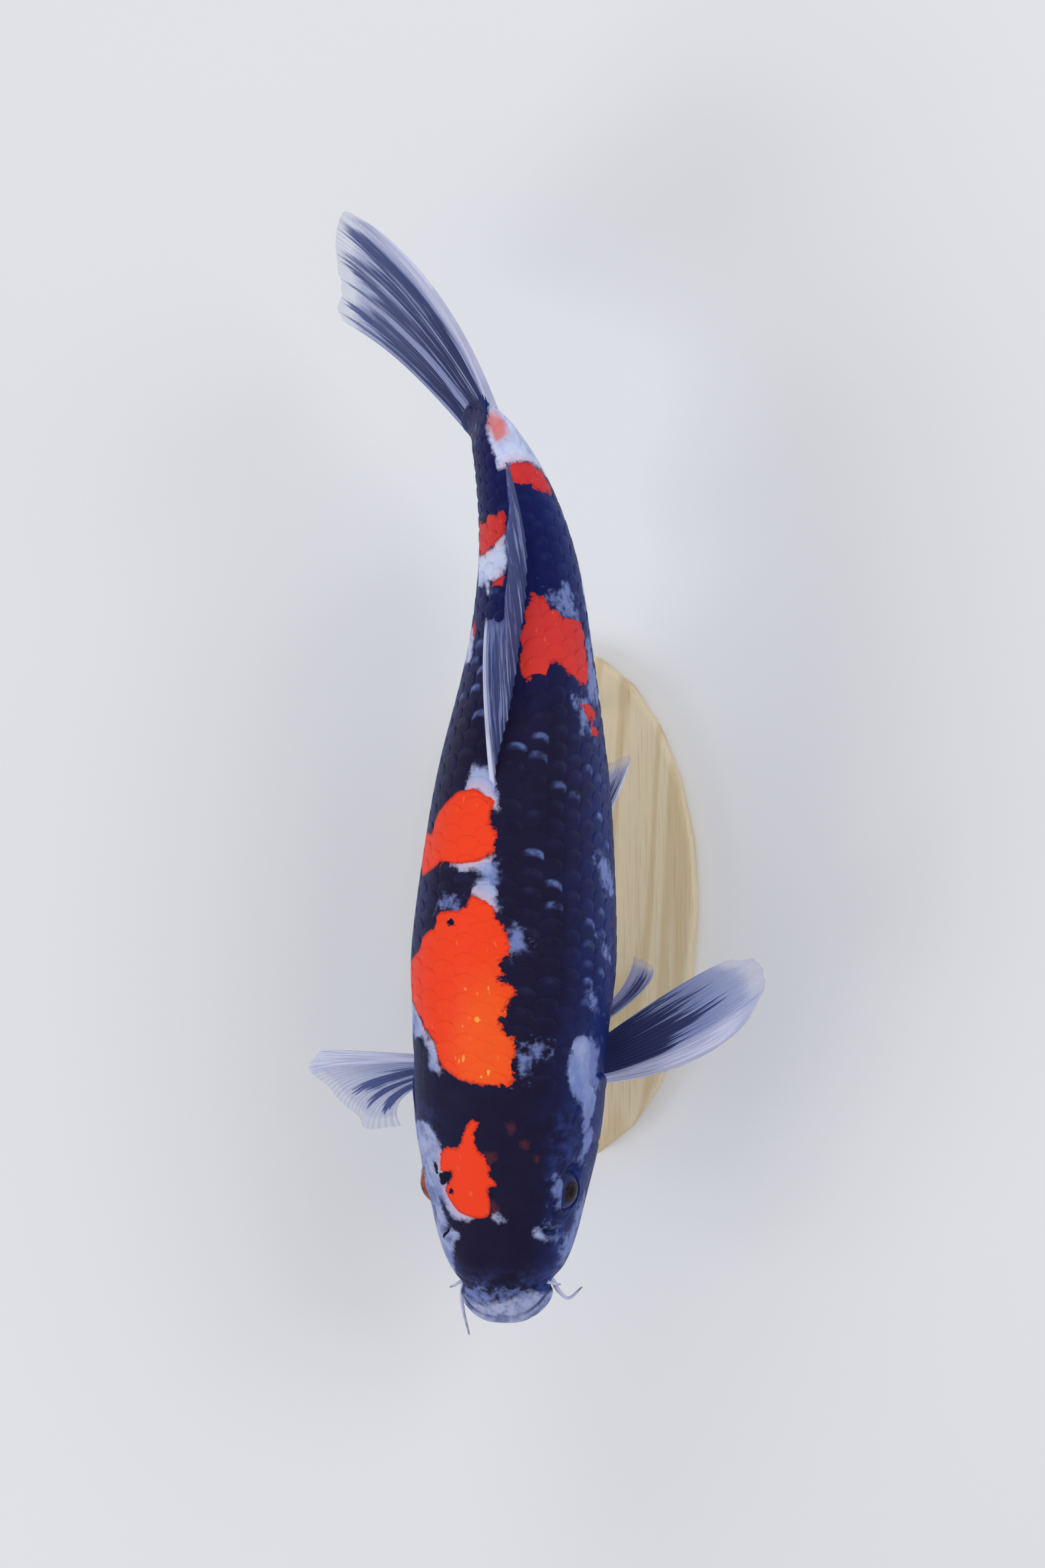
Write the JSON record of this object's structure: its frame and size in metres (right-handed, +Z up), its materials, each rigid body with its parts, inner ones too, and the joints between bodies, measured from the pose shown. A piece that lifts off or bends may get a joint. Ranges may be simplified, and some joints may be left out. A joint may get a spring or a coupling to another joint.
{
  "type": "koi carp display model",
  "caption": "Life-size koi carp in a gliding turn with spread fins, barbels and scales, held over a flat oval base by short rods.",
  "frame": {"origin": "centre of the underside of the oval base", "axes": "+Z up; -Y the way the fish's head points; +X to the fish's left"},
  "size_m": [0.2172, 0.4791, 0.1936],
  "materials": {
    "skin": "satin painted cast resin, black with red and white patches",
    "gill_cover": "satin painted cast resin, black with blue-white streaks",
    "eye": "glossy, orange-brown iris with a black pupil",
    "fin": "thin satin cast resin, pale lavender with dark streaks along the rays",
    "barbel": "satin painted, pale with a dark tip",
    "stand_base": "pale ash, satin varnish",
    "stand_metal": "brushed stainless steel"
  },
  "bodies": {
    "root": {"gill_cover_left": "gill_cover", "gill_cover_right": "gill_cover", "head": "skin", "trunk": "skin", "tail_stem": "skin", "eye_left": "eye", "eye_right": "eye", "fin_dorsal": "fin", "fin_anal": "fin", "fin_caudal_upper": "fin", "fin_caudal_lower": "fin", "fin_pectoral_left": "fin", "fin_pectoral_left_rear": "fin", "fin_pectoral_right": "fin", "fin_pelvic_left": "fin", "fin_pelvic_right": "fin", "barbel_corner_left": "barbel", "barbel_corner_right": "barbel", "barbel_lip_left": "barbel", "barbel_lip_right": "barbel", "stand_base": "stand_base", "stand_rod_front": "stand_metal", "stand_collar_front": "stand_metal", "stand_cradle_front": "stand_metal", "stand_rod_rear": "stand_metal", "stand_collar_rear": "stand_metal", "stand_cradle_rear": "stand_metal"}
  },
  "joints": []
}
